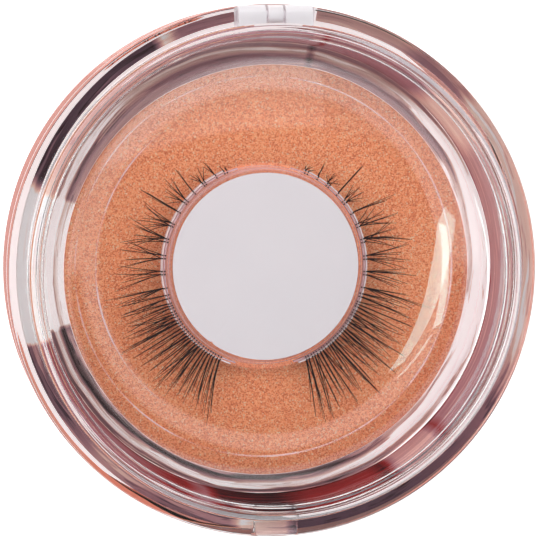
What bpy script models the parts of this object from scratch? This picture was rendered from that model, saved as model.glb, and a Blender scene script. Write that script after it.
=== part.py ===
"""A round hinged case that shows a pair of strip lashes.

A thick clear dish holds a glitter card and a clear tray, and the two lashes are wrapped round the tray's boss.
A metallised liner stands against the wall, with its foot round the card. A clear rim ring is bonded on the wall,
over a ring of the same foil that lies under its edge. The domed clear lid is hinged to the back of that ring.
Metres, +Z up. The origin is the centre of the underside, and +Y is the hinge side.
"""

import math

import bmesh
import bpy
from mathutils import Vector

MM = 0.001

# Dish and rim ring
CASE_RADIUS = 35.0 * MM
BASE_HEIGHT = 12.0 * MM
RIM_RING_HEIGHT = 2.4 * MM
RING_LAND_WIDTH = 1.3 * MM
WALL_THICKNESS = 4.0 * MM
SIDE_DRAFT = 0.45 * MM
FLOOR_THICKNESS = 1.4 * MM
FOOT_RING_WIDTH = 4.6 * MM
FOOT_RECESS = 0.4 * MM
OUTER_EDGE_FILLET = 0.8 * MM
LEDGE_EDGE_FILLET = 0.5 * MM

# Lid
LID_RIM_WIDTH = 1.8 * MM
LID_RIM_HEIGHT = 2.9 * MM
LID_RIM_FILLET = 0.6 * MM
LID_SET_BACK = 2.4 * MM
FLANGE_WIDTH = 2.9 * MM
FLANGE_DROP = 0.25 * MM
DOME_RISE = 3.05 * MM
DOME_FULLNESS = 4.0
LID_THICKNESS = 1.6 * MM
LID_GAP = 0.3 * MM

# Hinge and thumb tab
KNUCKLE_RADIUS = 1.2 * MM
KNUCKLE_SET_BACK = 0.1 * MM
HINGE_WIDTH = 10.4 * MM
CENTRE_KNUCKLE_WIDTH = 2.0 * MM
HINGE_GAP = 0.3 * MM
PIN_RADIUS = 0.5 * MM
PIN_CLEARANCE = 0.09 * MM
TAB_WIDTH = 5.6 * MM
TAB_DROP = 0.5 * MM
TAB_THICKNESS = 1.7 * MM
TAB_SET_BACK = 0.3 * MM
TAB_ROOT = 0.2 * MM

# Liner, foil ring, card and label
FILM_GAP = 0.15 * MM
LINER_THICKNESS = 0.3 * MM
LINER_GAP = 0.15 * MM
LINER_DROP = 0.15 * MM
LINER_FOOT_WIDTH = 3.45 * MM
FOIL_RING_WIDTH = 1.2 * MM
FOIL_RING_INSET = 0.7 * MM
FOIL_RING_SHIFT = (0.6 * MM, 0.15 * MM, 0)
LINER_SEAM_AZIMUTH = math.radians(77.0)
LINER_SEAM_WIDTH = 0.4 * MM
CARD_THICKNESS = 0.3 * MM
CARD_GAP = 0.2 * MM
CARD_SHIFT = (0.5 * MM, -0.8 * MM, 0)
LABEL_RADIUS = 12.4 * MM
LABEL_THICKNESS = 0.15 * MM

# Tray
TRAY_THICKNESS = 0.4 * MM
TRAY_GAP = 0.3 * MM
TRAY_FOOT_WIDTH = 0.6 * MM
TRAY_SKIRT_WIDTH = 0.75 * MM
RIDGE_WIDTH = 1.3 * MM
RIDGE_HEIGHT = 2.8 * MM
STEP_SLOPE_WIDTH = 0.9 * MM
STEP_WIDTH = 0.6 * MM
STEP_HEIGHT = 1.4 * MM
FLOOR_SLOPE_WIDTH = 3.05 * MM
TRAY_FILLET = 0.45 * MM
BOSS_RADIUS = 12.95 * MM
BOSS_HEIGHT = 2.6 * MM
BOSS_DRAFT = 0.2 * MM

# Lashes
BAND_THICKNESS = 0.2 * MM
BAND_HEIGHT = 1.0 * MM
BAND_LIFT = 1.0 * MM
BAND_GAP = 0.12 * MM
BAND_START = math.radians(15.5)
BAND_END = math.radians(163.0)
HAIRS_START = math.radians(23.0)
HAIRS_END = math.radians(160.5)
HAIR_THICKNESS = 0.15 * MM
HAIR_LEAN = 0.16
HAIR_FAN = 0.03
HAIR_CURL = 0.032 / MM
FIRST_HAIR = 2.4 * MM
LAST_HAIR = 7.6 * MM
SPIKE_EXTRA = 2.0 * MM
FULL_LENGTH_FROM = 0.74
TUFT_TAPER = 0.22
UNEVENNESS = 0.06
HAIR_CELLS = 104
DENSE_FROM = 0.5
SPARSE_TUFT = 5
SPARSE_GAP = 2
DENSE_TUFT = 10
DENSE_GAP = 1

# Facets
SHARP_ANGLE = math.radians(30)
SAME_PLACE = 0.001 * MM
RING_STEPS = 48
SMALL_STEPS = 16
FILLET_STEPS = 2
DOME_STEPS = 6
BAND_STEPS = 30

# Places that follow from the sizes above
CAVITY_RADIUS = CASE_RADIUS - WALL_THICKNESS
FLOOR_TOP = FOOT_RECESS + FLOOR_THICKNESS
RING_BOTTOM = BASE_HEIGHT - RIM_RING_HEIGHT
FOIL_RING_TOP = RING_BOTTOM - FILM_GAP
FOIL_RING_BOTTOM = FOIL_RING_TOP - LINER_THICKNESS
WALL_TOP = FOIL_RING_BOTTOM - FILM_GAP
LID_BOTTOM = BASE_HEIGHT + LID_GAP
LID_RADIUS = CASE_RADIUS - LID_SET_BACK
RIM_TOP = LID_BOTTOM + LID_RIM_HEIGHT
RIM_INNER = LID_RADIUS - LID_RIM_WIDTH
FLANGE_TOP = RIM_TOP - FLANGE_DROP
DOME_RADIUS = RIM_INNER - FLANGE_WIDTH
HINGE_Y = CASE_RADIUS - KNUCKLE_RADIUS - KNUCKLE_SET_BACK
HINGE_Z = LID_BOTTOM
CARD_BOTTOM = FLOOR_TOP + FILM_GAP
TRAY_BOTTOM = CARD_BOTTOM + max(CARD_THICKNESS, LINER_THICKNESS) + FILM_GAP
TRAY_FLOOR = TRAY_BOTTOM + TRAY_THICKNESS
LINER_OUTER = CAVITY_RADIUS - LINER_GAP
LINER_INNER = LINER_OUTER - LINER_THICKNESS
LINER_TOP = BASE_HEIGHT - LINER_DROP
FOIL_RING_OUTER = CASE_RADIUS - FOIL_RING_INSET
FOIL_RING_INNER = FOIL_RING_OUTER - FOIL_RING_WIDTH
FOOT_INNER = LINER_INNER - LINER_FOOT_WIDTH
CARD_RADIUS = FOOT_INNER - CARD_GAP
TRAY_RADIUS = LINER_INNER - TRAY_GAP
BOSS_TOP = TRAY_FLOOR + BOSS_HEIGHT
BAND_INNER = BOSS_RADIUS + BOSS_DRAFT + BAND_GAP
BAND_BOTTOM = TRAY_FLOOR + BAND_LIFT
BACKING_INNER = BAND_INNER + BAND_THICKNESS + BAND_GAP


def material(name, colour, roughness, metallic=0.0, alpha=1.0):
    """A Principled finish. A see-through one shows what is behind it in the viewport too."""
    made = bpy.data.materials.new(name)
    made.use_nodes = True
    made.diffuse_color = (*colour, alpha)
    shader = made.node_tree.nodes["Principled BSDF"]
    shader.inputs["Base Color"].default_value = (*colour, 1.0)
    shader.inputs["Roughness"].default_value = roughness
    shader.inputs["Metallic"].default_value = metallic
    shader.inputs["Alpha"].default_value = alpha
    return made


def add_object(name, bm, finish):
    """Links the bmesh as one object, with its faces pointing out and its round walls shaded smooth."""
    bmesh.ops.recalc_face_normals(bm, faces=bm.faces)
    mesh = bpy.data.meshes.new(name)
    bm.to_mesh(mesh)
    bm.free()
    mesh.shade_smooth()
    mesh.set_sharp_from_angle(angle=SHARP_ANGLE)
    obj = bpy.data.objects.new(name, mesh)
    bpy.context.scene.collection.objects.link(obj)
    if finish is not None:
        mesh.materials.append(finish)
    return obj


def filleted(corners):
    """Points along an outline of (radius, height, fillet) corners, with each fillet as an arc."""
    points = []
    for i, (r, z, fillet) in enumerate(corners):
        here = Vector((r, z))
        if fillet == 0:
            points.append(here)
            continue
        before = (Vector(corners[i - 1][:2]) - here).normalized()
        after = (Vector(corners[(i + 1) % len(corners)][:2]) - here).normalized()
        half = before.angle(after) / 2
        centre = here + (before + after).normalized() * fillet / math.sin(half)
        first = here + before * fillet / math.tan(half) - centre
        last = here + after * fillet / math.tan(half) - centre
        turn = first.angle_signed(last)
        for k in range(FILLET_STEPS + 1):
            share = turn * k / FILLET_STEPS
            cos, sin = math.cos(share), math.sin(share)
            # angle_signed counts clockwise turns as positive
            points.append(centre + Vector((first.x * cos + first.y * sin, first.y * cos - first.x * sin)))
    return points


def turned(outline, closed=True, steps=RING_STEPS):
    """A bmesh turned about Z. An open outline starts and ends on the axis."""
    bm = bmesh.new()
    points = [bm.verts.new((r, 0, z)) for r, z in outline]
    pairs = list(zip(points, points[1:]))
    if closed:
        pairs.append((points[-1], points[0]))
    edges = [bm.edges.new(pair) for pair in pairs]
    bmesh.ops.spin(bm, geom=points + edges, angle=2 * math.pi, steps=steps, axis=(0, 0, 1), use_merge=True)
    bmesh.ops.remove_doubles(bm, verts=bm.verts, dist=SAME_PLACE)
    return bm


def swept(outline, start, end, steps):
    """A bmesh of a closed outline swept about Z between two azimuths, with an end cap at each."""
    bm = bmesh.new()
    cos, sin = math.cos(start), math.sin(start)
    face = bm.faces.new([bm.verts.new((r * cos, r * sin, z)) for r, z in outline])
    geometry = [face, *face.verts, *face.edges]
    bmesh.ops.spin(bm, geom=geometry, angle=end - start, steps=steps, axis=(0, 0, 1))
    return bm


def box(low, high):
    """A bmesh box between two corners."""
    bm = bmesh.new()
    bmesh.ops.create_cube(bm, size=1)
    size = Vector(high) - Vector(low)
    bmesh.ops.scale(bm, vec=size, verts=bm.verts)
    bmesh.ops.translate(bm, vec=(Vector(low) + Vector(high)) / 2, verts=bm.verts)
    return bm


def hinge_prism(outline, x_from, x_to):
    """A bmesh prism along X of a closed (y, z) outline."""
    bm = bmesh.new()
    face = bm.faces.new([bm.verts.new((x_from, y, z)) for y, z in outline])
    grown = bmesh.ops.extrude_face_region(bm, geom=[face])["geom"]
    moved = [v for v in grown if isinstance(v, bmesh.types.BMVert)]
    bmesh.ops.translate(bm, vec=(x_to - x_from, 0, 0), verts=moved)
    return bm


def hinge_circle(radius, steps=SMALL_STEPS):
    """The (y, z) outline of a circle about the hinge axis."""
    turns = [2 * math.pi * k / steps for k in range(steps)]
    return [(HINGE_Y + radius * math.cos(a), HINGE_Z + radius * math.sin(a)) for a in turns]


def combine(obj, bm, operation):
    """Joins the bmesh to the object, or cuts it away, with a Boolean modifier."""
    helper = add_object(f"{obj.name}_{operation.lower()}_{len(obj.modifiers)}", bm, None)
    helper.hide_render = True
    helper.display_type = "WIRE"
    modifier = obj.modifiers.new(helper.name, "BOOLEAN")
    modifier.operation = operation
    modifier.solver = "EXACT"
    modifier.object = helper


def make_base(finish):
    """The clear dish: a recessed underside, a floor and a thick wall."""
    recess_radius = CASE_RADIUS - FOOT_RING_WIDTH
    outline = [
        (0, FOOT_RECESS, 0),
        (recess_radius, FOOT_RECESS, 0),
        (recess_radius + FOOT_RECESS, 0, 0),
        (CASE_RADIUS - SIDE_DRAFT, 0, OUTER_EDGE_FILLET),
        (CASE_RADIUS, WALL_TOP, 0),
        (CAVITY_RADIUS, WALL_TOP, 0),
        (CAVITY_RADIUS, FLOOR_TOP, 0),
        (0, FLOOR_TOP, 0),
    ]
    return add_object("base_shell", turned(filleted(outline), closed=False), finish)


def make_rim_ring(finish):
    """The clear ring bonded on the wall by its land, with the hinge pocket, the centre knuckle and the recess."""
    land = CAVITY_RADIUS + RING_LAND_WIDTH
    land_bottom = WALL_TOP + FILM_GAP
    outline = [
        (CAVITY_RADIUS, land_bottom, 0),
        (land, land_bottom, 0),
        (land, RING_BOTTOM, 0),
        (CASE_RADIUS, RING_BOTTOM, 0),
        (CASE_RADIUS, BASE_HEIGHT, LEDGE_EDGE_FILLET),
        (CAVITY_RADIUS, BASE_HEIGHT, 0),
    ]
    ring = add_object("rim_ring", turned(filleted(outline)), finish)

    pocket_front = HINGE_Y - KNUCKLE_RADIUS - HINGE_GAP
    pocket_floor = HINGE_Z - KNUCKLE_RADIUS - HINGE_GAP
    beyond = CASE_RADIUS + WALL_THICKNESS
    above = RIM_TOP + WALL_THICKNESS
    half_pocket = HINGE_WIDTH / 2
    combine(ring, box((-half_pocket, pocket_front, pocket_floor), (half_pocket, beyond, above)), "DIFFERENCE")

    half_knuckle = CENTRE_KNUCKLE_WIDTH / 2
    upper = [point for point in hinge_circle(KNUCKLE_RADIUS) if point[1] > HINGE_Z]
    bury = (pocket_floor + RING_BOTTOM) / 2
    stem = [
        (HINGE_Y + KNUCKLE_RADIUS, HINGE_Z),
        *upper,
        (HINGE_Y - KNUCKLE_RADIUS, HINGE_Z),
        (HINGE_Y - KNUCKLE_RADIUS, bury),
        (HINGE_Y + KNUCKLE_RADIUS, bury),
    ]
    combine(ring, hinge_prism(stem, -half_knuckle, half_knuckle), "UNION")
    bore = hinge_circle(PIN_RADIUS + PIN_CLEARANCE)
    combine(ring, hinge_prism(bore, -CENTRE_KNUCKLE_WIDTH, CENTRE_KNUCKLE_WIDTH), "DIFFERENCE")

    half_recess = TAB_WIDTH / 2 + LID_GAP
    recess_floor = LID_BOTTOM - TAB_DROP - LID_GAP
    recess_back = -(LID_RADIUS - TAB_ROOT - LID_GAP)
    combine(ring, box((-half_recess, -beyond, recess_floor), (half_recess, recess_back, above)), "DIFFERENCE")
    return ring


def dome_height(radius, top):
    """Height of a dome surface whose centre is at top."""
    return top - DOME_RISE * (radius / DOME_RADIUS) ** DOME_FULLNESS


def make_lid(finish):
    """The clear lid: a dome in a flat flange with a raised rim that rests on the base, knuckles and a tab."""
    top = FLANGE_TOP + DOME_RISE
    outside = [DOME_RADIUS * math.sqrt(1 - k / DOME_STEPS) for k in range(DOME_STEPS)]
    inside = [DOME_RADIUS * math.sqrt(k / DOME_STEPS) for k in range(1, DOME_STEPS + 1)]
    outline = [
        (0, top - LID_THICKNESS, 0),
        *[(r, dome_height(r, top - LID_THICKNESS), 0) for r in inside],
        (RIM_INNER, FLANGE_TOP - LID_THICKNESS, 0),
        (RIM_INNER, LID_BOTTOM, 0),
        (LID_RADIUS, LID_BOTTOM, 0),
        (LID_RADIUS, RIM_TOP, LID_RIM_FILLET),
        (RIM_INNER, RIM_TOP, 0),
        (RIM_INNER, FLANGE_TOP, 0),
        *[(r, dome_height(r, top), 0) for r in outside],
        (0, top, 0),
    ]
    lid = add_object("lid_shell", turned(filleted(outline), closed=False), finish)

    bury = LID_RADIUS - LID_RIM_WIDTH / 2
    tab_low = LID_BOTTOM - TAB_DROP
    tab_top = tab_low + TAB_THICKNESS
    tab_end = CASE_RADIUS - TAB_SET_BACK
    tab_root = LID_RADIUS - TAB_ROOT
    tab_outline = [
        (-tab_end, tab_low),
        (-tab_root, tab_low),
        (-tab_root, LID_BOTTOM + LID_GAP),
        (-bury, LID_BOTTOM + LID_GAP),
        (-bury, tab_top),
        (-tab_end, tab_top),
    ]
    tab = hinge_prism(tab_outline, -TAB_WIDTH / 2, TAB_WIDTH / 2)
    end_edges = [e for e in tab.edges if all(v.co.y < -LID_RADIUS for v in e.verts)]
    bmesh.ops.bevel(
        tab, geom=end_edges, offset=LEDGE_EDGE_FILLET, segments=2, profile=0.5, affect="EDGES", material=-1
    )
    combine(lid, tab, "UNION")

    inner_end = CENTRE_KNUCKLE_WIDTH / 2 + HINGE_GAP
    outer_end = HINGE_WIDTH / 2 - HINGE_GAP
    circle = hinge_circle(KNUCKLE_RADIUS)
    first = SMALL_STEPS // 2
    lower_and_back = [circle[k % SMALL_STEPS] for k in range(first, first + 3 * SMALL_STEPS // 4 + 1)]
    arm = [*lower_and_back, (bury, RIM_TOP - LID_RIM_FILLET), (bury, LID_BOTTOM + LID_GAP)]
    for side in (-1, 1):
        low, high = sorted((side * inner_end, side * outer_end))
        combine(lid, hinge_prism(arm, low, high), "UNION")
    notch = hinge_circle(KNUCKLE_RADIUS + HINGE_GAP)
    combine(lid, hinge_prism(notch, -inner_end, inner_end), "DIFFERENCE")
    bore = hinge_circle(PIN_RADIUS + PIN_CLEARANCE)
    combine(lid, hinge_prism(bore, -HINGE_WIDTH, HINGE_WIDTH), "DIFFERENCE")
    return lid


def make_hinge_pin(finish):
    """The pin that joins the three knuckles. It ends flush with the outer two."""
    half = HINGE_WIDTH / 2 - HINGE_GAP
    return add_object("hinge_pin", hinge_prism(hinge_circle(PIN_RADIUS), -half, half), finish)


def make_wall_liner(finish):
    """The metallised liner: a foot round the card and a wall, one strip whose ends meet at the seam.

    The foot's hole is a little off centre, and the card lies in it.
    """
    outline = [
        (FOOT_INNER, CARD_BOTTOM),
        (LINER_OUTER, CARD_BOTTOM),
        (LINER_OUTER, LINER_TOP),
        (LINER_INNER, LINER_TOP),
        (LINER_INNER, CARD_BOTTOM + LINER_THICKNESS),
        (FOOT_INNER, CARD_BOTTOM + LINER_THICKNESS),
    ]
    half_seam = LINER_SEAM_WIDTH / LINER_OUTER / 2
    start = LINER_SEAM_AZIMUTH + half_seam
    end = LINER_SEAM_AZIMUTH + 2 * math.pi - half_seam
    bm = swept(outline, start, end, RING_STEPS)
    hole = [v for v in bm.verts if v.co.xy.length < FOOT_INNER + SAME_PLACE]
    bmesh.ops.translate(bm, vec=CARD_SHIFT, verts=hole)
    return add_object("wall_liner", bm, finish)


def make_rim_foil(finish):
    """The flat ring of foil under the rim ring's edge, a little off centre and cut away at the hinge."""
    outline = [
        (FOIL_RING_INNER, FOIL_RING_BOTTOM),
        (FOIL_RING_OUTER, FOIL_RING_BOTTOM),
        (FOIL_RING_OUTER, FOIL_RING_TOP),
        (FOIL_RING_INNER, FOIL_RING_TOP),
    ]
    bm = turned(outline)
    bmesh.ops.translate(bm, vec=FOIL_RING_SHIFT, verts=bm.verts)
    foil = add_object("rim_foil", bm, finish)
    half_cut = HINGE_WIDTH / 2
    beyond = CASE_RADIUS + WALL_THICKNESS
    combine(foil, box((-half_cut, CAVITY_RADIUS, WALL_TOP), (half_cut, beyond, RING_BOTTOM)), "DIFFERENCE")
    return foil


def make_disc(name, radius, low, thickness, finish, shift=(0, 0, 0)):
    """A flat round card."""
    outline = [(0, low), (radius, low), (radius, low + thickness), (0, low + thickness)]
    bm = turned(outline, closed=False)
    bmesh.ops.translate(bm, vec=shift, verts=bm.verts)
    return add_object(name, bm, finish)


def make_tray(finish):
    """The thermoformed tray: foot, skirt, ridge, step, floor and boss, one sheet of even thickness."""
    skirt = TRAY_RADIUS - TRAY_FOOT_WIDTH
    ridge = skirt - TRAY_SKIRT_WIDTH
    slope = ridge - RIDGE_WIDTH
    step = slope - STEP_SLOPE_WIDTH
    floor_edge = step - STEP_WIDTH
    floor_start = floor_edge - FLOOR_SLOPE_WIDTH
    above = [
        (TRAY_RADIUS, TRAY_FLOOR, 0),
        (skirt, TRAY_FLOOR, 0),
        (ridge, TRAY_FLOOR + RIDGE_HEIGHT, TRAY_FILLET),
        (slope, TRAY_FLOOR + RIDGE_HEIGHT, TRAY_FILLET),
        (step, TRAY_FLOOR + STEP_HEIGHT, 0),
        (floor_edge, TRAY_FLOOR + STEP_HEIGHT, 0),
        (floor_start, TRAY_FLOOR, 0),
        (BOSS_RADIUS + BOSS_DRAFT, TRAY_FLOOR, 0),
        (BOSS_RADIUS, BOSS_TOP, TRAY_FILLET),
        (0, BOSS_TOP, 0),
    ]
    surface = filleted(above)
    below = []
    for i, here in enumerate(surface):
        ahead = surface[min(i + 1, len(surface) - 1)]
        behind = surface[max(i - 1, 0)]
        before = (here - behind).normalized() if i else (ahead - here).normalized()
        after = (ahead - here).normalized() if i + 1 < len(surface) else before
        normal = Vector((before.y + after.y, -before.x - after.x)).normalized()
        side = Vector((before.y, -before.x))
        below.append(here - normal * TRAY_THICKNESS / normal.dot(side))
    below[-1].x = 0
    return add_object("lash_tray", turned([*surface[::-1], *below], closed=False), finish)


def around_boss(side, turn):
    """The azimuth that lies that far round the boss from its back, on the lash's side."""
    return math.pi / 2 - side * turn


def make_lash_band(name, side, finish):
    """The clear band that is stuck to the boss."""
    outer = BAND_INNER + BAND_THICKNESS
    high = BAND_BOTTOM + BAND_HEIGHT
    outline = [(BAND_INNER, BAND_BOTTOM), (outer, BAND_BOTTOM), (outer, high), (BAND_INNER, high)]
    bm = swept(outline, around_boss(side, BAND_START), around_boss(side, BAND_END), BAND_STEPS)
    return add_object(name, bm, finish)


def hair_plan(cell):
    """(length, spread) of the hairs in a cell of the backing, or None in the gaps between tufts.

    The hairs are short and sparse at the back and grow to full length towards the front. The middle hair of
    each tuft is a longer spike, and spread runs from -1 to 1 across the tuft.
    """
    share = cell / (HAIR_CELLS - 1)
    tuft, gap = (SPARSE_TUFT, SPARSE_GAP) if share < DENSE_FROM else (DENSE_TUFT, DENSE_GAP)
    place = cell % tuft
    if place >= tuft - gap:
        return None
    grown = math.sin(min(1.0, share / FULL_LENGTH_FROM) * math.pi / 2)
    length = FIRST_HAIR + (LAST_HAIR - FIRST_HAIR) * grown
    middle = (tuft - gap - 1) / 2
    spread = (place - middle) / middle
    if place == int(middle):
        return length + SPIKE_EXTRA * share, spread
    return length * (1 - TUFT_TAPER * abs(spread) - UNEVENNESS * (cell % 3)), spread


def make_lash_hairs(name, side, finish):
    """The hairs in two layers that lean opposite ways, grown from the slice of band that they are knotted to."""
    outer = BACKING_INNER + BAND_THICKNESS
    high = BAND_BOTTOM + BAND_HEIGHT
    middle = (BAND_BOTTOM + high) / 2
    outline = [
        (BACKING_INNER, BAND_BOTTOM),
        (outer, BAND_BOTTOM),
        (outer, middle),
        (outer, high),
        (BACKING_INNER, high),
    ]
    start, end = around_boss(side, HAIRS_START), around_boss(side, HAIRS_END)
    bm = swept(outline, start, end, HAIR_CELLS)
    roots = []
    for face in bm.faces:
        if len(face.verts) == 4 and all(v.co.xy.length > outer - SAME_PLACE for v in face.verts):
            roots.append(face)
    for root in roots:
        centre = root.calc_center_median()
        azimuth = math.atan2(centre.y, centre.x * side)
        turn = math.pi / 2 - azimuth
        cell = round((turn - HAIRS_START) / (HAIRS_END - HAIRS_START) * HAIR_CELLS - 0.5)
        plan = hair_plan(cell)
        if plan is None:
            continue
        layer = 1 if centre.z > middle else -1
        grow_hair(bm, root, centre, side, layer, *plan)
    return add_object(name, bm, finish)


def grow_hair(bm, root, centre, side, layer, length, spread):
    """Draws one face of the backing out into a tapering hair that leans sideways and curls up."""
    outward = Vector((centre.x, centre.y, 0)).normalized()
    along = Vector((-outward.y, outward.x, 0)) * side
    up = Vector((0, 0, 1))
    lean = layer * HAIR_LEAN - HAIR_FAN * spread
    bmesh.ops.inset_individual(bm, faces=[root], thickness=HAIR_THICKNESS / 4)
    signs = [(1 if (v.co - centre).dot(along) > 0 else -1, 1 if v.co.z > centre.z else -1) for v in root.verts]
    face = root
    for share, width in ((0, 1.0), (0.5, 0.75), (1, 0)):
        reach = length * share
        spot = centre + outward * reach + along * lean * reach + up * HAIR_CURL * reach**2
        if share:
            face = bmesh.ops.extrude_discrete_faces(bm, faces=[face])["faces"][0]
        half = HAIR_THICKNESS / 2 * width
        for v, (across, rise) in zip(face.verts, signs):
            v.co = spot + along * across * half + up * rise * half
    bmesh.ops.pointmerge(bm, verts=face.verts[:], merge_co=spot)


def main():
    for obj in list(bpy.data.objects):
        bpy.data.objects.remove(obj)

    clear = material("clear_plastic", (0.93, 0.91, 0.92), 0.03, alpha=0.35)
    clear_film = material("clear_film", (0.95, 0.88, 0.87), 0.08, alpha=0.4)
    rose_foil = material("rose_foil", (0.72, 0.44, 0.42), 0.16, metallic=1.0)
    copper_glitter = material("copper_glitter", (0.80, 0.42, 0.27), 0.4, metallic=0.6)
    white_paper = material("white_paper", (0.85, 0.82, 0.83), 0.6)
    band_clear = material("band_clear", (0.86, 0.66, 0.66), 0.3, alpha=0.6)
    black_hair = material("black_hair", (0.02, 0.016, 0.018), 0.45)

    base = make_base(clear)
    lid = make_lid(clear)
    parts = [
        make_rim_ring(clear),
        make_hinge_pin(clear_film),
        make_wall_liner(rose_foil),
        make_rim_foil(rose_foil),
        make_disc("glitter_card", CARD_RADIUS, CARD_BOTTOM, CARD_THICKNESS, copper_glitter, CARD_SHIFT),
        make_tray(clear_film),
        make_disc("centre_label", LABEL_RADIUS, BOSS_TOP + FILM_GAP, LABEL_THICKNESS, white_paper),
    ]
    for side_name, side in (("left", -1), ("right", 1)):
        parts.append(make_lash_band(f"{side_name}_lash_band", side, band_clear))
        parts.append(make_lash_hairs(f"{side_name}_lash_hairs", side, black_hair))
    for part in parts:
        part.parent = base

    axis = bpy.data.objects.new("lid_hinge_axis", None)
    axis.location = (0, HINGE_Y, HINGE_Z)
    axis.parent = base
    bpy.context.scene.collection.objects.link(axis)
    bpy.context.view_layer.update()
    lid.parent = axis
    lid.matrix_parent_inverse = axis.matrix_world.inverted()


main()
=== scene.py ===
"""The eyelash case, dressed for rendering: clear mouldings, rose foil, copper glitter and a pair of strip lashes.

The sections follow the case as it is put together, from the dish up to the lid. Lengths are in millimetres until
they become mesh, +Z is up and +Y is the hinge side.
"""

import math
import random

import bmesh
import bpy
from mathutils import Matrix, Vector, noise


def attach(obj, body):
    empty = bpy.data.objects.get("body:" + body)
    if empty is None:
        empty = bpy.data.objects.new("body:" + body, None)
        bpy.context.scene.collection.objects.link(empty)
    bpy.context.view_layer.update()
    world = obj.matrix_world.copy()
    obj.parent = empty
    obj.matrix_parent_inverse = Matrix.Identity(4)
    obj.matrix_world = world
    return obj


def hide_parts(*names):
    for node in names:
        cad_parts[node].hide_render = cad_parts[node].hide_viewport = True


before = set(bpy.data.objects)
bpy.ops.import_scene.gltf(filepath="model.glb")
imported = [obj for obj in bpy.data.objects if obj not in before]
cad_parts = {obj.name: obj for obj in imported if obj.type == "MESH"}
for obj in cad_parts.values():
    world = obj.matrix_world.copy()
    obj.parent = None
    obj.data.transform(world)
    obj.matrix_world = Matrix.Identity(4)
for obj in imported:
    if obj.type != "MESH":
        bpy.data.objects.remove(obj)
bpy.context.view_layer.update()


# ---------------------------------------------------------------------------------------------- The dish
# A thick clear acrylic moulding with a foot ring below and a deep round well. The side of its wall has a matte coat
# of rose, which goes glossy and flecked where it is thin. The back of the liner has the same colour.

MM = 0.001
TURN_STEPS = 320
SHARP_ANGLE = math.radians(32)
CASE_RADIUS = 35.0
WELL_RADIUS = 31.0
WALL_TOP = 9.0
WELL_FLOOR = 1.8
FOOT_INNER = 30.8
FOOT_OUTER = 33.8
FOOT_HEIGHT = 0.4
SIDE_FOOT = 34.55
ACRYLIC = (0.99, 0.985, 0.99, 1)
ACRYLIC_IOR = 1.49
COAT = (0.47, 0.190, 0.158, 1)
COAT_RED = (0.56, 0.13, 0.07, 1)
COAT_FLECK = (0.13, 0.03, 0.035, 1)
COAT_PALE = (0.62, 0.36, 0.32, 1)
# The next two coat colours are painted light and a painted glow, for where the coat runs under the ring's edge
COAT_PAINTED_LIGHT = (0.75, 0.34, 0.27, 1)
COAT_PAINTED_GLOW = (0.22, 0.085, 0.06, 1)
MILKY = (0.85, 0.81, 0.83, 1)
DARK = (0, 0, 0, 1)


class Value:
    """A socket in a node tree. Sums on it add Math nodes to the tree."""

    def __init__(self, finish, node, out):
        self.finish, self.node, self.socket = finish, node, node.outputs[out]

    def out(self, name):
        return Value(self.finish, self.node, name)

    def math(self, operation, *others):
        return self.finish.math(operation, self, *others)

    def __add__(self, other):
        return self.math("ADD", other)

    def __sub__(self, other):
        return self.math("SUBTRACT", other)

    def __rsub__(self, other):
        return self.finish.math("SUBTRACT", other, self)

    def __mul__(self, other):
        return self.math("MULTIPLY", other)

    def __truediv__(self, other):
        return self.math("DIVIDE", other)

    __radd__, __rmul__ = __add__, __mul__

    def above(self, edge, soft):
        """1 where the value is above edge, 0 below it, and smooth over soft."""
        stops = {1: edge - soft / 2, 2: edge + soft / 2}
        return self.finish.node("ShaderNodeMapRange", {"interpolation_type": "SMOOTHSTEP"}, {0: self, **stops})

    def within(self, low, high, soft):
        """1 where the value is between low and high."""
        return self.above(low, soft) - self.above(high, soft)


class Finish:
    """A node tree that is built by calls, with the places on a piece that its patterns use."""

    def __init__(self, owner):
        self.owner = owner
        owner.use_nodes = True
        self.tree = owner.node_tree
        self.tree.nodes.clear()

    def node(self, kind, settings=None, sockets=None, out=0):
        node = self.tree.nodes.new(kind)
        for name, value in (settings or {}).items():
            if name == "stops":
                for i, (place, colour) in enumerate(value):
                    ends = node.color_ramp.elements
                    stop = ends[i] if i < 2 else ends.new(place)
                    stop.position, stop.color = place, colour
            else:
                setattr(node, name, value)
        for name, value in (sockets or {}).items():
            if isinstance(value, Value):
                self.tree.links.new(value.socket, node.inputs[name])
            else:
                node.inputs[name].default_value = value
        return Value(self, node, out)

    def math(self, operation, *values):
        return self.node("ShaderNodeMath", {"operation": operation}, dict(enumerate(values)))

    def mix(self, share, a, b):
        """Colour a, with colour b over it by share."""
        return self.node("ShaderNodeMix", {"data_type": "RGBA"}, {0: share, 6: a, 7: b}, out=2)

    def place(self):
        """The x, y and z of the point that is shaded, in millimetres."""
        where = self.node("ShaderNodeTexCoord", out="Object")
        settings = {"operation": "SCALE"}
        scaled = self.node("ShaderNodeVectorMath", settings, {0: where, "Scale": 1 / MM})
        parts = self.node("ShaderNodeSeparateXYZ", None, {0: scaled})
        return parts, parts.out("Y"), parts.out("Z")

    def vector(self, x, y, z):
        return self.node("ShaderNodeCombineXYZ", None, {0: x, 1: y, 2: z})

    def noise(self, where, scale, detail=3.0, rough=0.55):
        sockets = {"Vector": where, "Scale": scale, "Detail": detail, "Roughness": rough}
        return self.node("ShaderNodeTexNoise", None, sockets)

    def ramp(self, value, *stops):
        return self.node("ShaderNodeValToRGB", {"stops": stops}, {0: value})

    def principled(self, **sockets):
        named = {name.replace("_", " "): value for name, value in sockets.items()}
        return self.node("ShaderNodeBsdfPrincipled", None, named)

    def ends_in(self, shader):
        kind = "World" if isinstance(self.owner, bpy.types.World) else "Material"
        end = self.tree.nodes.new(f"ShaderNodeOutput{kind}")
        self.tree.links.new(shader.socket, end.inputs["Surface"])
        return self.owner


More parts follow.
